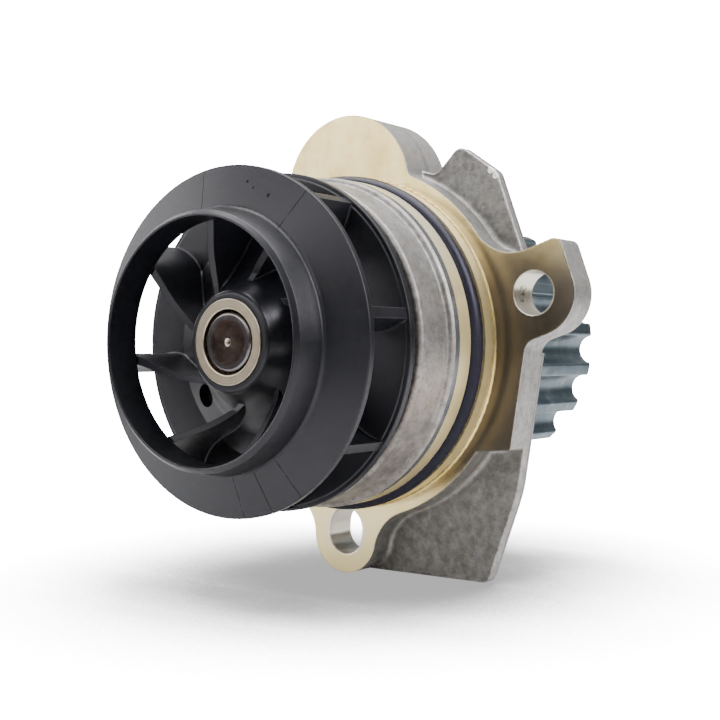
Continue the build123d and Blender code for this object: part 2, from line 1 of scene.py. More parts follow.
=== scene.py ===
import bpy
import bmesh
import math
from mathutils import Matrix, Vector


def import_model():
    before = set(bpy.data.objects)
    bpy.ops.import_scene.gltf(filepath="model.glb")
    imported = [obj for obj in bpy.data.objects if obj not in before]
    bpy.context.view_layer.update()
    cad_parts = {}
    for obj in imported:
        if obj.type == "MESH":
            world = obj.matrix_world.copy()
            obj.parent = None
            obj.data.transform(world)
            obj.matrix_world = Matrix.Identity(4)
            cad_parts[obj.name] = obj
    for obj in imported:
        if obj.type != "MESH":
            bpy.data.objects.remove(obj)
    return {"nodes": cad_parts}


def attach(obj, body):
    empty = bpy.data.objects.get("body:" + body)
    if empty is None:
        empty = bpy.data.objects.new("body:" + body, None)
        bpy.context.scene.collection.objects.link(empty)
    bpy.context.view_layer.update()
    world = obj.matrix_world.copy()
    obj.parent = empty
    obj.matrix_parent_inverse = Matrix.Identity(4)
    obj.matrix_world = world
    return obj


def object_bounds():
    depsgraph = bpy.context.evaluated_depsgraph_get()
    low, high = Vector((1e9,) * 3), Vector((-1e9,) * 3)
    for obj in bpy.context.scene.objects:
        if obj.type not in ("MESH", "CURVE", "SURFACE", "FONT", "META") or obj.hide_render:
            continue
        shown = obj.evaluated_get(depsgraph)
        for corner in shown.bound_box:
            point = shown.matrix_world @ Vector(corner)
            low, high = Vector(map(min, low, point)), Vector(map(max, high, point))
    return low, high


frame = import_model()
cad_low, cad_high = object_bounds()

MM = 0.001

# Places on the part that the finishes need, in millimetres. y runs along the shaft towards the pulley,
# and the flange face is at y = 0.
CAST_SPIGOT_Y = -13.0
ROLLED_EDGE_Y = -12.8
LAND_FRONT_Y = -11.35
LAND_CORNER_R = 34.25
LAND_CORNER_Y = -0.5
STEP_Y = 5.7
EAR_BACK_Y = 7.3
NOSE_END_Y = 44.5
SHROUD_FACE_Y = -37.3
SHROUD_EYE_R = 24.2
SHAFT_END_Y = -37.8
MILL_CENTRE = (-70.0, 35.0)

# Lines and spots along the shaft's direction: x, z and radius in millimetres
BOLT_HOLES = ((42.0, 9.3, 4.35), (-34.34, 25.88, 4.35), (-2.1, -39.35, 5.0))
SPOT_FACES = ((42.0, 9.3, 7.45), (-34.34, 25.88, 7.45), (-2.4, -40.3, 7.45))
SHROUD_PITS = ((5.87, 28.67, 0.28), (7.43, 27.43, 0.2), (11.02, 25.77, 0.34))
TAB_NICKS = ((29.6, 34.3, 0.85), (30.5, 33.0, 0.6))
CHATTER_SPOT = (38.2, 9.3, 1.6)

# Degrees from +X towards +Z of the flow lines on the shroud
MOULD_LINES = (54.4, 99.8, -82.0, -70.0, -57.0)

# Radii of the hollow fillets that the visual model adds, in millimetres, and the faces across each
STEP_FILLET = 1.1
BLADE_FILLET = 0.35
FILLET_STEPS = 5

# Surroundings. Lengths are in metres unless the name ends in MM.
FLOOR_GAP = 0.0003
FLOOR_SHADE_REACH = 0.13
FLOOR_SHADE_RANGE = (0.42, 1.0)
FLOOR_WHITE = 46.0
FLOOR_GLOW = 0.55
BACKDROP_WHITE = 26.0
CAMERA_AT_MM = (149.30, -200.98, -1.51)
CAMERA_TOWARD = (-0.5923, 0.8057, -0.0080)
LIGHTS_AIM = (0, -0.01, 0)
LIGHTS = (  # name, place, size and watts
    ("top_box", (-0.02, 0.05, 0.5), (0.6, 0.5), 6.0),
    ("front_left_card", (-0.36, -0.50, 0.125), (0.5, 0.10), 0.52),
    ("front_top_card", (0.05, -0.45, 0.30), (0.5, 0.2), 0.9),
    ("front_left_high", (-0.40, -0.48, 0.26), (0.4, 0.14), 1.1),
    ("left_box", (-0.45, -0.05, 0.22), (0.35, 0.35), 1.6),
    ("right_box", (0.44, 0.07, 0.29), (0.22, 0.42), 3.5),
)


# ---------------------------------------------------------------- node helpers

class Finish:
    """One procedural material. Lengths inside it are millimetres in the part's own frame."""

    def __init__(self, name, edge_mm=0.3):
        self.material = bpy.data.materials.new(name)
        self.material.use_nodes = True
        self.tree = self.material.node_tree
        self.tree.nodes.clear()
        self.shader = self.add("ShaderNodeBsdfPrincipled")
        output = self.add("ShaderNodeOutputMaterial")
        self.tree.links.new(self.shader.outputs["BSDF"], output.inputs["Surface"])
        place = self.add("ShaderNodeTexCoord").outputs["Object"]
        self.place = self.vector("SCALE", place, scale=1 / MM)
        parts = self.add("ShaderNodeSeparateXYZ", Vector=self.place)
        self.x, self.y, self.z = parts.outputs
        self.radius = self.math("SQRT", self.math("ADD", self.square(self.x), self.square(self.z)))
        self.angle = self.math("ARCTAN2", self.z, self.x)
        self.normal = self.add("ShaderNodeNewGeometry").outputs["Normal"]
        local = self.add("ShaderNodeVectorTransform", Vector=self.normal)
        local.vector_type = "NORMAL"
        local.convert_from = "WORLD"
        local.convert_to = "OBJECT"
        self.facing_y = self.add("ShaderNodeSeparateXYZ", Vector=local.outputs[0]).outputs["Y"]
        bevel = self.add("ShaderNodeBevel", Radius=edge_mm * MM)
        bevel.samples = 6
        self.soft_normal = bevel.outputs[0]
        agreement = self.add("ShaderNodeVectorMath")
        agreement.operation = "DOT_PRODUCT"
        self.feed(agreement.inputs[0], self.normal)
        self.feed(agreement.inputs[1], self.soft_normal)
        self.edge = self.step(agreement.outputs["Value"], 0.985, 0.86)

    def add(self, kind, **inputs):
        node = self.tree.nodes.new(kind)
        for name, value in inputs.items():
            self.feed(node.inputs[name.replace("_", " ")], value)
        return node

    def feed(self, socket, value):
        if isinstance(value, bpy.types.NodeSocket):
            self.tree.links.new(value, socket)
        elif value is not None:
            socket.default_value = value

    def math(self, operation, first, second=None):
        node = self.add("ShaderNodeMath")
        node.operation = operation
        self.feed(node.inputs[0], first)
        self.feed(node.inputs[1], second)
        return node.outputs[0]

    def vector(self, operation, first, second=None, scale=None):
        node = self.add("ShaderNodeVectorMath")
        node.operation = operation
        self.feed(node.inputs[0], first)
        self.feed(node.inputs[1], second)
        if scale is not None:
            node.inputs["Scale"].default_value = scale
        return node.outputs[0]

    def square(self, value):
        return self.math("MULTIPLY", value, value)

    def step(self, value, low, high):
        """0 at low, 1 at high, smooth between; high may be the smaller of the two."""
        node = self.add("ShaderNodeMapRange", Value=value)
        node.interpolation_type = "SMOOTHSTEP"
        ends = (low, high, 0.0, 1.0) if low <= high else (high, low, 1.0, 0.0)
        for socket, end in zip(list(node.inputs)[1:5], ends):
            socket.default_value = end
        return node.outputs[0]

    def band(self, value, low, high, soft):
        """1 from low to high, falling to 0 over soft outside them."""
        return self.both(self.step(value, low - soft, low), self.step(value, high + soft, high))

    def both(self, *masks):
        """1 where every mask is 1."""
        result = masks[0]
        for mask in masks[1:]:
            result = self.math("MULTIPLY", result, mask)
        return result

    def either(self, *masks):
        """1 where any mask is 1."""
        result = masks[0]
        for mask in masks[1:]:
            result = self.math("MAXIMUM", result, mask)
        return result

    def flipped(self, mask):
        return self.math("SUBTRACT", 1.0, mask)

    def scaled(self, value, factor):
        return self.math("MULTIPLY", value, factor)

    def noise(self, scale, detail=3.0, roughness=0.55, place=None, distortion=0.0):
        """Noise from 0 to 1 whose features are about 1 / scale millimetres apart."""
        node = self.add("ShaderNodeTexNoise", Vector=place or self.place, Scale=scale,
                        Detail=detail, Roughness=roughness, Distortion=distortion)
        return node.outputs[0]

    def point(self, x=0.0, y=0.0, z=0.0):
        return self.add("ShaderNodeCombineXYZ", X=x, Y=y, Z=z).outputs[0]

    def specks(self, scale, size):
        """1 inside small dots about 1 / scale millimetres apart, 0 elsewhere."""
        node = self.add("ShaderNodeTexVoronoi", Vector=self.place, Scale=scale)
        return self.step(node.outputs["Distance"], size, size * 0.5)

    def near(self, x, z, distance):
        """1 within a distance of a line along the shaft's direction."""
        across = self.math("SUBTRACT", self.x, x)
        up = self.math("SUBTRACT", self.z, z)
        away = self.math("SQRT", self.math("ADD", self.square(across), self.square(up)))
        return self.step(away, distance + 0.06, distance)

    def blend(self, share, first, second):
        node = self.add("ShaderNodeMix")
        node.data_type = "RGBA"
        self.feed(node.inputs["Factor"], share)
        self.feed(node.inputs[6], (*first, 1) if isinstance(first, tuple) else first)
        self.feed(node.inputs[7], (*second, 1) if isinstance(second, tuple) else second)
        return node.outputs[2]

    def between(self, share, first, second):
        node = self.add("ShaderNodeMix")
        self.feed(node.inputs["Factor"], share)
        self.feed(node.inputs[2], first)
        self.feed(node.inputs[3], second)
        return node.outputs[0]

    def bump(self, height, depth_mm, after=None):
        node = self.add("ShaderNodeBump", Height=height, Distance=depth_mm * MM, Strength=1.0)
        self.feed(node.inputs["Normal"], after or self.soft_normal)
        return node.outputs[0]

    def finish(self, color, roughness, metallic=0.0, normal=None, **constants):
        self.feed(self.shader.inputs["Base Color"], (*color, 1) if isinstance(color, tuple) else color)
        self.feed(self.shader.inputs["Roughness"], roughness)
        self.feed(self.shader.inputs["Metallic"], metallic)
        self.feed(self.shader.inputs["Normal"], normal or self.soft_normal)
        for name, value in constants.items():
            self.shader.inputs[name.replace("_", " ")].default_value = value
        return self.material


# ---------------------------------------------------------------- finishes

def cast_aluminium():
    """Die-cast grain, stains, and edges lightened partly by wear and partly by a painted highlight, with the
    machined faces, lands and bores cut clean; parts of it carry painted shade and painted reflections.
    """
    f = Finish("cast_aluminium", edge_mm=0.45)
    face = f.both(f.step(f.facing_y, -0.9, -0.97), f.band(f.y, -0.06, 0.06, 0.03))
    turned = f.both(f.band(f.y, LAND_FRONT_Y, 0.02, 0.03), f.band(f.radius, 29.7, 34.9, 0.1))
    rolled = f.both(f.band(f.y, ROLLED_EDGE_Y, LAND_FRONT_Y, 0.05), f.band(f.radius, 32.0, 34.9, 0.1))
    bores = f.either(*[f.near(*place) for place in BOLT_HOLES])
    seats = f.both(f.either(*[f.near(*place) for place in SPOT_FACES]),
                   f.band(f.y, EAR_BACK_Y - 0.06, EAR_BACK_Y + 0.06, 0.03))
    nose_end = f.both(f.band(f.y, NOSE_END_Y - 0.06, NOSE_END_Y + 0.06, 0.03),
                      f.step(f.facing_y, 0.9, 0.97))
    machined = f.either(face, turned, rolled, bores, seats, nose_end)
    on_spigot = f.step(f.y, CAST_SPIGOT_Y, CAST_SPIGOT_Y - 0.6)

    level = f.math("ADD", f.z, f.scaled(f.math("SUBTRACT", f.noise(0.08, 3.0), 0.5), 9.0))
    patches = f.step(f.noise(0.13, 4.0, 0.6), 0.36, 0.66)
    mottle = f.step(f.noise(0.5, 8.0, 0.74), 0.25, 0.75)
    stains = f.both(f.step(f.noise(0.4, 8.0, 0.78, distortion=0.25), 0.50, 0.66), patches)
    warm = f.step(f.noise(0.22, 4.0), 0.5, 0.68)
    cast = f.blend(mottle, (0.22, 0.215, 0.21), (0.40, 0.39, 0.375))
    cast = f.blend(f.scaled(stains, 0.62), cast, (0.095, 0.088, 0.082))
    spigot = f.both(on_spigot, f.step(f.noise(0.3, 6.0, 0.72), 0.42, 0.62))
    cast = f.blend(f.scaled(spigot, 0.35), cast, (0.15, 0.138, 0.130))
    # The spigot is painted warmer and lighter towards the bottom.
    warmer_lower_spigot = f.both(on_spigot, f.step(level, 4.0, -12.0))
    cast = f.blend(f.scaled(warmer_lower_spigot, 0.45), cast, (0.45, 0.365, 0.31))
    soot = f.both(on_spigot, f.step(f.noise(0.85, 8.0, 0.82), 0.50, 0.60),
                  f.step(f.noise(0.16, 3.0), 0.40, 0.56))
    cast = f.blend(f.scaled(soot, 0.55), cast, (0.10, 0.085, 0.075))
    cast = f.blend(f.scaled(warm, 0.32), cast, (0.40, 0.30, 0.235))
    # The recessed plates behind the flange face get a darker copy of the cast colour: painted shade.
    inner_plates = f.both(f.step(f.facing_y, -0.8, -0.95), f.band(f.y, STEP_Y - 0.1, STEP_Y + 0.1, 0.05))
    recessed_plate_painted_shade = f.blend(mottle, (0.085, 0.081, 0.076), (0.21, 0.202, 0.19))
    recessed_plate_painted_shade = f.blend(f.scaled(stains, 0.5), recessed_plate_painted_shade, (0.05, 0.046, 0.043))
    cast = f.blend(f.scaled(inner_plates, 0.8), cast, recessed_plate_painted_shade)
    sand = f.step(f.noise(2.3, 4.0, 0.7), 0.50, 0.66)
    cast = f.blend(f.scaled(sand, 0.38), cast, f.blend(patches, (0.12, 0.113, 0.106), (0.17, 0.162, 0.155)))
    glints = f.both(f.specks(1.9, 0.10), f.step(f.noise(0.35, 3.0), 0.48, 0.6))
    cast = f.blend(f.scaled(glints, 0.5), cast, (0.62, 0.60, 0.57))
    # The spigot's right side and underside get a darker copy of the cast colour, broken into blotches by
    # noise: painted shade.
    side = f.both(f.step(f.x, 22.0, 31.0), f.band(level, 3.0, 20.0, 7.0))
    under = f.step(level, -6.0, -16.0)
    spigot_painted_shade = f.both(on_spigot, f.either(side, under),
                   f.step(f.noise(0.22, 7.0, 0.74, distortion=0.2), 0.25, 0.6))
    cast = f.blend(f.scaled(spigot_painted_shade, 0.75), cast, f.blend(mottle, (0.085, 0.078, 0.074), (0.19, 0.175, 0.165)))
    # Edges are painted lighter: partly wear, partly a painted edge highlight.
    worn_and_highlit_edges = f.both(f.edge, f.step(f.noise(0.5, 5.0, 0.75), 0.38, 0.56))
    cast = f.blend(f.scaled(worn_and_highlit_edges, 0.8), cast, (0.78, 0.76, 0.73))

    nick = f.both(f.either(*[f.near(*place) for place in TAB_NICKS]), f.step(f.y, 6.5, 6.1))
    nick = f.both(nick, f.step(f.noise(1.1, 5.0, 0.7), 0.36, 0.46))
    cast = f.blend(nick, cast, (0.88, 0.86, 0.83))

    film = f.noise(0.12, 4.0, 0.6)
    bright = f.blend(f.step(film, 0.3, 0.7), (0.65, 0.485, 0.185), (0.87, 0.71, 0.345))
    drag = f.noise(0.55, 5.0, 0.65, place=f.point(f.x, 0.0, f.scaled(f.z, 0.12)))
    bright = f.blend(f.scaled(f.step(drag, 0.45, 0.75), 0.28), bright, (0.55, 0.42, 0.19))
    # The lower ear of the flange face is painted a paler cream: a painted reflection of light.
    lower_ear_painted_light = f.both(face, f.step(level, -28.0, -37.0))
    bright = f.blend(f.scaled(lower_ear_painted_light, 0.8), bright, f.blend(film, (0.93, 0.77, 0.38), (1.0, 0.88, 0.50)))
    # The right side of the flange face is painted dark olive, darker again lower down: a painted dark
    # reflection.
    painted_dark_reflection = f.both(face, f.step(level, 30.0, 9.0), f.step(level, -36.0, -22.0), f.step(f.x, 10.0, 27.0))
    dark_reflection_color = f.blend(f.step(level, 9.0, -5.0), f.blend(film, (0.098, 0.083, 0.069), (0.146, 0.125, 0.106)),
                  f.blend(film, (0.064, 0.055, 0.048), (0.098, 0.085, 0.075)))
    bright = f.blend(f.scaled(painted_dark_reflection, 0.95), bright, dark_reflection_color)
    lands = f.both(turned, f.step(f.y, -0.3, -1.6))
    # The land is painted paler towards the top, a painted highlight, and a deeper gold lower down.
    below_painted_highlight = f.step(level, 26.0, 4.0)
    land = f.blend(below_painted_highlight, f.blend(film, (0.92, 0.81, 0.54), (1.0, 0.93, 0.72)),
                   f.blend(film, (0.80, 0.63, 0.30), (0.91, 0.76, 0.42)))
    bright = f.blend(lands, bright, land)
    bright = f.blend(rolled, bright, (0.20, 0.205, 0.22))
    specks = f.both(f.specks(1.4, 0.12), f.step(f.noise(0.6), 0.4, 0.6))
    bright = f.blend(f.scaled(f.both(specks, face), 0.6), bright, (0.18, 0.15, 0.12))
    pale = f.blend(f.scaled(bores, 0.8), bright, (0.80, 0.76, 0.70))
    chatter = f.both(bores, f.near(*CHATTER_SPOT), f.band(f.y, 2.4, 4.4, 0.5))
    chatter = f.both(chatter, f.step(f.noise(0.9, 6.0, 0.8), 0.50, 0.55))
    pale = f.blend(f.scaled(chatter, 0.9), pale, (0.05, 0.045, 0.04))
    color = f.blend(machined, cast, pale)

    seams = f.either(f.band(f.y, 7.5, 7.65, 0.06), f.band(f.y, 8.2, 8.34, 0.06))
    seams = f.both(seams, f.step(f.math("ABSOLUTE", f.facing_y), 0.5, 0.2), f.step(f.radius, 36.0, 37.5))
    color = f.blend(f.scaled(seams, 0.75), color, (0.08, 0.075, 0.07))

    cast_rough = f.between(mottle, 0.54, 0.38)
    cut_rough = f.between(lands, f.between(film, 0.20, 0.30), f.between(film, 0.26, 0.36))
    roughness = f.between(machined, f.between(worn_and_highlit_edges, cast_rough, 0.28), cut_rough)

    grain = f.noise(1.1, 4.0, 0.62)
    pitted = f.math("SUBTRACT", grain, f.scaled(f.specks(1.1, 0.16), 0.5))
    cast_height = f.math("SUBTRACT", f.math("ADD", pitted, f.scaled(seams, 2.2)), 0.5)
    mill_x = f.math("SUBTRACT", f.x, MILL_CENTRE[0])
    mill_z = f.math("SUBTRACT", f.z, MILL_CENTRE[1])
    sweep = f.math("SQRT", f.math("ADD", f.square(mill_x), f.square(mill_z)))
    milling = f.noise(2.6, 3.0, 0.7, place=f.point(sweep, 0.0, 0.0))
    lathe = f.noise(5.0, 3.0, 0.7, place=f.point(f.y, f.radius, 0.0))
    cut_height = f.math("SUBTRACT", f.between(turned, milling, lathe), 0.5)
    rough_part = f.bump(f.both(cast_height, f.flipped(machined)), 0.06)
    true_or_rough = f.blend(turned, rough_part, f.normal)
    inward = f.math("DIVIDE", f.math("SUBTRACT", LAND_CORNER_R, f.radius), f.radius)
    corner_normal = f.vector("NORMALIZE", f.point(f.math("MULTIPLY", inward, f.x),
                                                  f.math("SUBTRACT", LAND_CORNER_Y, f.y),
                                                  f.math("MULTIPLY", inward, f.z)))
    in_corner = f.both(f.band(f.y, LAND_CORNER_Y, 0.03, 0.02), f.band(f.radius, 33.70, LAND_CORNER_R, 0.02))
    true_or_rough = f.blend(in_corner, true_or_rough, corner_normal)
    normal = f.bump(f.both(cut_height, machined), 0.005, after=true_or_rough)
    metallic = f.between(machined, 0.75, f.between(lands, 0.78, 0.72))
    return f.finish(color, roughness, metallic, normal)


def rubber(name, color, shine=0.42, gloss=0.46, dull_below=None):
    """Black rubber with dust; below the height dull_below, in millimetres, it is drier and duller."""
    f = Finish(name, edge_mm=0.15)
    dust = f.both(f.specks(2.2, 0.10), f.step(f.noise(0.5), 0.45, 0.62))
    tint = f.blend(f.noise(0.35), color, tuple(1.5 * c for c in color))
    tint = f.blend(f.scaled(dust, 0.35), tint, (0.35, 0.34, 0.33))
    roughness = f.between(f.noise(0.8, 4.0), shine - 0.08, shine + 0.12)
    height = f.math("ADD", f.noise(3.5, 3.0), f.scaled(f.noise(0.5), 0.6))
    if dull_below is not None:
        dry = f.step(f.z, dull_below + 14.0, dull_below)
        roughness = f.math("ADD", roughness, f.scaled(dry, 0.3))
    return f.finish(tint, roughness, 0.0, f.bump(height, 0.012),
                    Specular_IOR_Level=gloss, Specular_Tint=(0.80, 0.78, 1.0, 1.0))


def moulded_plastic(name):
    """Glass-filled black moulding with radial flow lines, fine texture and dust."""
    f = Finish(name, edge_mm=0.22)
    lines = []
    for degrees in MOULD_LINES:
        turn = math.radians(degrees)
        ahead = f.math("ADD", f.scaled(f.x, math.cos(turn)), f.scaled(f.z, math.sin(turn)))
        aside = f.math("SUBTRACT", f.scaled(f.x, math.sin(turn)), f.scaled(f.z, math.cos(turn)))
        thin = f.step(f.math("ABSOLUTE", aside), 0.11, 0.04)
        lines.append(f.both(thin, f.step(ahead, SHROUD_EYE_R - 0.6, SHROUD_EYE_R)))
    broken = f.step(f.noise(0.5, 3.0), 0.34, 0.5)
    pits = f.either(*[f.near(*pit) for pit in SHROUD_PITS])
    outside = f.both(f.step(f.y, SHROUD_FACE_Y + 0.4, SHROUD_FACE_Y), f.step(f.facing_y, -0.5, -0.7))
    flow = f.both(f.either(f.scaled(f.either(*lines), f.between(broken, 0.45, 1.0)), pits), outside)
    brushed = f.noise(1.0, 3.0, 0.6, place=f.point(f.scaled(f.radius, 2.6), f.scaled(f.angle, 7.0), f.y))
    grain = f.noise(4.5, 3.0, 0.6)
    bloom = f.step(f.noise(0.10, 3.0), 0.35, 0.7)
    tint = f.blend(bloom, (0.0028, 0.0030, 0.0044), (0.0052, 0.0055, 0.0080))
    # Edges are painted lighter here: a painted edge highlight.
    tint = f.blend(f.scaled(f.edge, 0.6), tint, (0.045, 0.047, 0.055))
    tint = f.blend(f.scaled(flow, 0.9), tint, (0.0008, 0.0008, 0.0008))
    dust = f.both(f.specks(0.55, 0.035), f.step(f.noise(0.3), 0.4, 0.6))
    tint = f.blend(f.scaled(dust, 0.7), tint, (0.3, 0.3, 0.3))
    roughness = f.between(f.noise(0.5, 4.0), 0.30, 0.42)
    height = f.math("ADD", f.scaled(grain, 0.55), f.scaled(brushed, 0.9))
    height = f.math("SUBTRACT", height, f.scaled(flow, 8.0))
    return f.finish(tint, f.either(roughness, f.scaled(flow, 0.9)), 0.0, f.bump(height, 0.016),
                    Specular_IOR_Level=0.42, Specular_Tint=(0.94, 0.92, 1.0, 1.0))


def metal(name, light, dark, rough=(0.22, 0.36), along="turned", lines=4.0, depth=0.003):
    """Machined or drawn metal: fine marks run round the shaft, or along it for along='drawn'."""
    f = Finish(name, edge_mm=0.2)
    if along == "turned":
        marks = f.noise(lines, 3.0, 0.65, place=f.point(f.y, f.radius, 0.0))
    else:
        marks = f.noise(lines, 3.0, 0.65, place=f.point(f.x, f.scaled(f.y, 0.06), f.z))
    film = f.noise(0.28, 3.0, 0.6)
    tint = f.blend(film, dark, light)
    tint = f.blend(f.scaled(f.step(marks, 0.4, 0.65), 0.45), tint, tuple(0.55 * c for c in dark))
    # Edges are painted lighter here: a painted edge highlight.
    tint = f.blend(f.scaled(f.edge, 0.6), tint, tuple(min(1.0, 1.25 * c) for c in light))
    specks = f.both(f.specks(1.6, 0.07), f.step(f.noise(0.4), 0.48, 0.6))
    tint = f.blend(f.scaled(specks, 0.5), tint, tuple(0.35 * c for c in dark))
    roughness = f.between(f.noise(0.7, 4.0), rough[0], rough[1])
    return f.finish(tint, roughness, 1.0, f.bump(marks, depth))


def shaft_steel():
    """Ground shaft with a dark polished end face, its centre mark and handling scratches."""
    f = Finish("shaft_steel", edge_mm=0.2)
    end = f.step(f.y, SHAFT_END_Y + 0.2, SHAFT_END_Y)
    film = f.noise(0.35, 3.0, 0.6, distortion=0.5)
    brown = f.blend(f.step(film, 0.3, 0.7), (0.19, 0.128, 0.108), (0.37, 0.255, 0.21))
    rim = f.both(end, f.step(f.radius, 4.0, 4.3))
    # The rim of the end face is painted dark blue-grey: painted shade.
    brown = f.blend(f.scaled(rim, 0.8), brown, (0.115, 0.120, 0.130))
    drawn_out = f.point(f.scaled(f.x, 3.0), f.scaled(f.z, 0.5), 0.0)
    stretched = f.noise(1.5, 2.0, place=drawn_out, distortion=1.5)
    scratches = f.both(f.band(stretched, 0.495, 0.505, 0.004), f.step(f.noise(0.5), 0.4, 0.55))
    centre = f.band(f.radius, 0.44, 0.70, 0.05)
    bruise = f.both(f.step(f.noise(1.6, 4.0), 0.60, 0.66), f.step(f.radius, 3.4, 1.0))
    bright = f.both(end, f.either(f.scaled(scratches, 0.5), centre, f.scaled(bruise, 0.35)))
    steel = f.blend(f.noise(0.4), (0.42, 0.41, 0.40), (0.58, 0.57, 0.56))
    tint = f.blend(bright, f.blend(end, steel, brown), (0.75, 0.70, 0.64))
    end_rough = f.between(f.either(f.scaled(rim, 0.4), bright), 0.13, 0.34)
    roughness = f.between(end, f.between(f.noise(0.7), 0.16, 0.26), end_rough)
    marks = f.noise(5.0, 3.0, place=f.point(f.y, f.radius, 0.0))
    height = f.math("SUBTRACT", marks, f.scaled(bright, 0.6))
    return f.finish(tint, roughness, 1.0, f.bump(height, 0.002))


def zinc_plate():
    """Blue passivated zinc over a sintered pulley."""
    f = Finish("zinc_plated_steel", edge_mm=0.3)
    film = f.noise(0.09, 4.0, 0.6)
    tint = f.blend(f.step(film, 0.35, 0.65), (0.092, 0.124, 0.146), (0.150, 0.190, 0.217))
    tint = f.blend(f.scaled(f.step(f.noise(0.3, 3.0), 0.55, 0.7), 0.25), tint, (0.45, 0.44, 0.40))
    # Edges are painted lighter here: a painted edge highlight.
    tint = f.blend(f.scaled(f.edge, 0.5), tint, (0.75, 0.78, 0.8))
    pores = f.specks(2.4, 0.12)
    tint = f.blend(f.scaled(pores, 0.35), tint, (0.12, 0.14, 0.16))
    roughness = f.between(f.noise(0.8, 4.0), 0.34, 0.48)
    height = f.math("SUBTRACT", f.noise(1.8, 4.0), f.scaled(pores, 0.5))
    drawn = f.noise(3.0, 2.0, place=f.point(f.x, f.scaled(f.y, 0.05), f.z))
    return f.finish(tint, roughness, 1.0, f.bump(f.math("ADD", f.scaled(height, 0.5), drawn), 0.008))


def matt(name, light, dark, rough=0.5):
    """Plastic, carbon or ceramic with a fine even grain."""
    f = Finish(name, edge_mm=0.15)
    tint = f.blend(f.noise(0.4, 4.0), dark, light)
    # Edges are painted lighter here: a painted edge highlight.
    tint = f.blend(f.scaled(f.edge, 0.4), tint, tuple(min(1.0, 1.5 * c) for c in light))
    roughness = f.between(f.noise(0.9, 3.0), rough - 0.08, rough + 0.08)
    return f.finish(tint, roughness, 0.0, f.bump(f.noise(2.5, 4.0, 0.6), 0.01))


cast = cast_aluminium()
plastic = moulded_plastic("impeller_plastic")
seal_rubber = rubber("seal_rubber", (0.013, 0.013, 0.014))
bearing_steel = metal("bearing_steel", (0.66, 0.66, 0.68), (0.50, 0.50, 0.52), rough=(0.12, 0.22),
                      depth=0.0015)
pressed_steel = metal("pressed_steel", (0.66, 0.65, 0.62), (0.50, 0.49, 0.47), rough=(0.2, 0.34))
cage = matt("cage_plastic", (0.62, 0.55, 0.42), (0.50, 0.44, 0.33))
finishes = {
    "pump_housing": cast,
    "spigot_o_ring": rubber("o_ring_rubber", (0.0035, 0.0033, 0.0070), shine=0.36, gloss=0.36,
                            dull_below=-4.0),
    "impeller_back_plate": plastic,
    "impeller_front_shroud": plastic,
    "impeller_bush": metal("bush_metal", (0.58, 0.50, 0.375), (0.44, 0.37, 0.275), rough=(0.24, 0.36),
                           lines=1.8),
    "pump_shaft": shaft_steel(),
    "timing_belt_pulley": zinc_plate(),
    "seal_cup": pressed_steel,
    "seal_drive_band": pressed_steel,
    "seal_shaft_sleeve": pressed_steel,
    "seal_spring": metal("spring_steel", (0.55, 0.55, 0.56), (0.40, 0.40, 0.42), along="drawn"),
    "seal_bellows": seal_rubber,
    "mating_ring_boot": seal_rubber,
    "water_slinger": seal_rubber,
    "bearing_front_seal": seal_rubber,
    "bearing_rear_seal": seal_rubber,
    "seal_carbon_ring": matt("carbon", (0.05, 0.05, 0.053), (0.025, 0.025, 0.027), rough=0.4),
    "seal_mating_ring": matt("ceramic", (0.30, 0.30, 0.32), (0.20, 0.20, 0.22), rough=0.3),
    "bearing_outer_sleeve": bearing_steel,
    "bearing_balls": bearing_steel,
    "bearing_rollers": bearing_steel,
    "ball_cage": cage,
    "roller_cage": cage,
}
for node, material in finishes.items():
    shown = frame["nodes"][node]
    shown.data.materials.clear()
    shown.data.materials.append(material)


# ---------------------------------------------------------------- cast and moulded blends

def distance_from_ends(edges):
    """How far each vertex of these edge chains is from the nearest open end of its chain, along it."""
    linked = {}
    for edge in edges:
        for one, other in ((0, 1), (1, 0)):
            linked.setdefault(edge.verts[one].index, []).append((edge.verts[other].index, edge.calc_length()))
    far = {index: 1.0 for index in linked}
    waiting = [(0.0, index) for index, near in linked.items() if len(near) == 1]
    while waiting:
        waiting.sort()
        length, index = waiting.pop(0)
        if length >= far[index]:
            continue
        far[index] = length
        waiting += [(length + step, other) for other, step in linked[index] if length + step < far[other]]
    return far


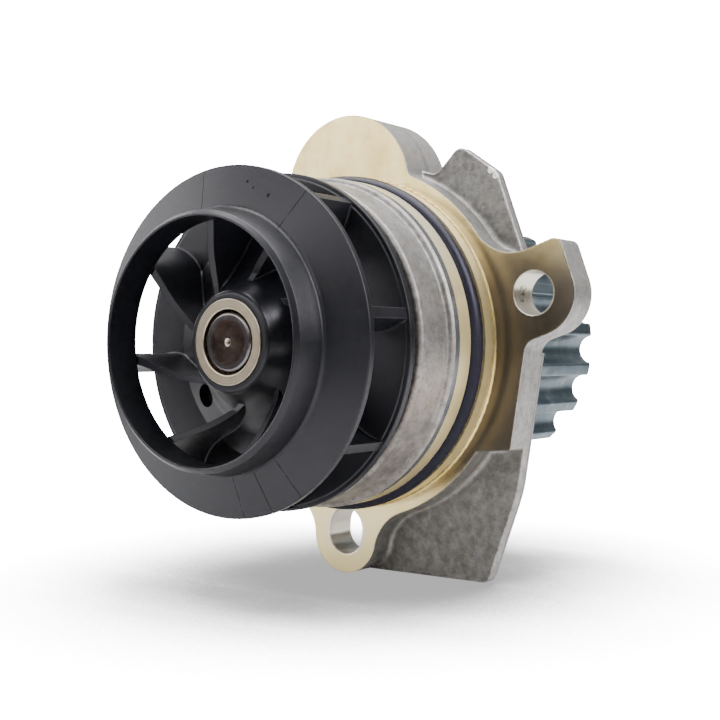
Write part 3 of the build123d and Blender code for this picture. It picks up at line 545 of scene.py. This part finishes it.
def blend_strips(name, node, body, radius_mm, wanted):
    """Hollow fillets along the inside corners of a CAD node where wanted(middle, across, along) says so.

    across is the normal of the side that faces most along the shaft, along the normal of the other side.
    """
    source = bmesh.new()
    source.from_mesh(frame["nodes"][node].data)
    bmesh.ops.remove_doubles(source, verts=source.verts, dist=1e-6)
    source.normal_update()
    sides = {}
    creases = []
    for edge in source.edges:
        if len(edge.link_faces) != 2 or edge.is_convex or edge.calc_face_angle(0) < math.radians(35):
            continue
        flat, wall = sorted((face.normal for face in edge.link_faces), key=lambda n: -abs(n.y))
        middle = (edge.verts[0].co + edge.verts[1].co) / 2 / MM
        if not wanted(middle, flat, wall):
            continue
        creases.append(edge)
        for vert in edge.verts:
            pair = sides.setdefault(vert.index, [vert.co.copy(), Vector(), Vector()])
            pair[1] += flat * edge.calc_length()
            pair[2] += wall * edge.calc_length()
    from_end = distance_from_ends(creases)
    points = []
    rows = {}
    for index, (corner, flat, wall) in sides.items():
        flat, wall = flat.normalized(), wall.normalized()
        radius = radius_mm * MM * max(0.02, min(1.0, from_end[index] / (1.6 * radius_mm * MM)))
        centre = corner + (flat + wall) * radius / (1 + flat.dot(wall))
        rows[index] = len(points)
        for step in range(FILLET_STEPS + 1):
            share = step / FILLET_STEPS
            toward = flat.lerp(wall, share).normalized()
            points.append(centre - toward * radius)
    faces = []
    for edge in creases:
        first, second = (rows[vert.index] for vert in edge.verts)
        for step in range(FILLET_STEPS):
            faces.append((first + step, first + step + 1, second + step + 1, second + step))
    source.free()
    mesh = bpy.data.meshes.new(name)
    mesh.from_pydata(points, [], faces)
    tidy = bmesh.new()
    tidy.from_mesh(mesh)
    bmesh.ops.recalc_face_normals(tidy, faces=tidy.faces)
    tidy.to_mesh(mesh)
    tidy.free()
    for polygon in mesh.polygons:
        polygon.use_smooth = True
    strip = bpy.data.objects.new(name, mesh)
    bpy.context.scene.collection.objects.link(strip)
    mesh.materials.append(finishes[node])
    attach(strip, body)


def beside_front_step(middle, flat, wall):
    return abs(middle.y - STEP_Y) < 0.05 and flat.y < -0.9 and abs(wall.y) < 0.3


def blade_foot(middle, flat, wall):
    return abs(wall.y) < 0.2 and flat.y < -0.3 and 11.8 < math.hypot(middle.x, middle.z) < 31.6


blend_strips("casting_step_fillets", "pump_housing", "housing",
             STEP_FILLET, beside_front_step)
blend_strips("blade_foot_fillets", "impeller_back_plate", "rotor",
             BLADE_FILLET, blade_foot)


# ---------------------------------------------------------------- surroundings

def floor_finish():
    """Glowing white floor whose soft contact shadow is painted from how much the part closes it in."""
    material = bpy.data.materials.new("floor_glow_painted_shadow")
    material.use_nodes = True
    tree = material.node_tree
    tree.nodes.clear()
    shade = tree.nodes.new("ShaderNodeAmbientOcclusion")
    shade.inputs["Distance"].default_value = FLOOR_SHADE_REACH
    shade.samples = 16
    curve = tree.nodes.new("ShaderNodeMapRange")
    curve.interpolation_type = "SMOOTHSTEP"
    for socket, value in zip(list(curve.inputs)[1:5], (*FLOOR_SHADE_RANGE, 0.0, 1.0)):
        socket.default_value = value
    grow = tree.nodes.new("ShaderNodeMath")
    grow.operation = "POWER"
    grow.inputs[0].default_value = FLOOR_WHITE
    scale = tree.nodes.new("ShaderNodeMath")
    scale.operation = "MULTIPLY"
    scale.inputs[1].default_value = FLOOR_GLOW
    tree.links.new(curve.outputs[0], grow.inputs[1])
    tree.links.new(grow.outputs[0], scale.inputs[0])
    glow = tree.nodes.new("ShaderNodeEmission")
    output = tree.nodes.new("ShaderNodeOutputMaterial")
    tree.links.new(shade.outputs["AO"], curve.inputs["Value"])
    tree.links.new(scale.outputs[0], glow.inputs["Strength"])
    tree.links.new(glow.outputs[0], output.inputs["Surface"])
    return material


def sheet_of(name, size, level, material):
    """A level square of a stage material, centred under the part."""
    mesh = bpy.data.meshes.new(name)
    half = size / 2
    corners = [(-half, -half, 0), (half, -half, 0), (half, half, 0), (-half, half, 0)]
    mesh.from_pydata(corners, [], [(0, 1, 2, 3)])
    mesh.materials.append(material)
    sheet = bpy.data.objects.new(name, mesh)
    bpy.context.scene.collection.objects.link(sheet)
    sheet.location = (0, 0, level)
    return sheet


def flat_color(name, color, roughness):
    material = bpy.data.materials.new(name)
    material.use_nodes = True
    shader = material.node_tree.nodes["Principled BSDF"]
    shader.inputs["Base Color"].default_value = (*color, 1)
    shader.inputs["Roughness"].default_value = roughness
    return material


def floor():
    """One sheet is what the camera sees; the other, hidden under it, throws light up at the part."""
    level = cad_low[2] - FLOOR_GAP
    shown = sheet_of("floor_shown", 8, level, floor_finish())
    shown.visible_diffuse = False
    shown.visible_glossy = False
    shown.visible_shadow = False
    lit = sheet_of("floor_light", 0.62, level - 0.0001, flat_color("floor_bounce", (0.8, 0.8, 0.8), 0.9))
    lit.visible_camera = False


def soft_light(name, location, size, power):
    data = bpy.data.lights.new(name, "AREA")
    data.shape = "RECTANGLE"
    data.size, data.size_y = size
    data.energy = power
    lamp = bpy.data.objects.new(name, data)
    bpy.context.scene.collection.objects.link(lamp)
    lamp.location = location
    lamp.rotation_euler = (Vector(LIGHTS_AIM) - Vector(location)).to_track_quat("-Z", "Y").to_euler()


def world():
    """White to the camera; to the part a bright upper half that darkens towards the horizon."""
    made = bpy.data.worlds.new("studio")
    bpy.context.scene.world = made
    made.use_nodes = True
    tree = made.node_tree
    tree.nodes.clear()
    place = tree.nodes.new("ShaderNodeTexCoord")
    parts = tree.nodes.new("ShaderNodeSeparateXYZ")
    height = tree.nodes.new("ShaderNodeMapRange")
    height.interpolation_type = "SMOOTHSTEP"
    for socket, value in zip(list(height.inputs)[1:5], (0.05, 0.6, 0.10, 0.6)):
        socket.default_value = value
    room = tree.nodes.new("ShaderNodeBackground")
    white = tree.nodes.new("ShaderNodeBackground")
    white.inputs["Strength"].default_value = BACKDROP_WHITE
    path = tree.nodes.new("ShaderNodeLightPath")
    mix = tree.nodes.new("ShaderNodeMixShader")
    output = tree.nodes.new("ShaderNodeOutputWorld")
    tree.links.new(place.outputs["Generated"], parts.inputs[0])
    tree.links.new(parts.outputs["Z"], height.inputs["Value"])
    tree.links.new(height.outputs[0], room.inputs["Strength"])
    tree.links.new(path.outputs["Is Camera Ray"], mix.inputs[0])
    tree.links.new(room.outputs[0], mix.inputs[1])
    tree.links.new(white.outputs[0], mix.inputs[2])
    tree.links.new(mix.outputs[0], output.inputs["Surface"])


def camera():
    data = bpy.data.cameras.new("camera")
    shooter = bpy.data.objects.new("camera", data)
    bpy.context.scene.collection.objects.link(shooter)
    data.lens = 60
    data.sensor_width = 36
    data.clip_start = 0.01
    shooter.location = Vector(CAMERA_AT_MM) * MM
    shooter.rotation_euler = Vector(CAMERA_TOWARD).to_track_quat("-Z", "Y").to_euler()
    bpy.context.scene.camera = shooter


floor()
world()
camera()
for light in LIGHTS:
    soft_light(*light)
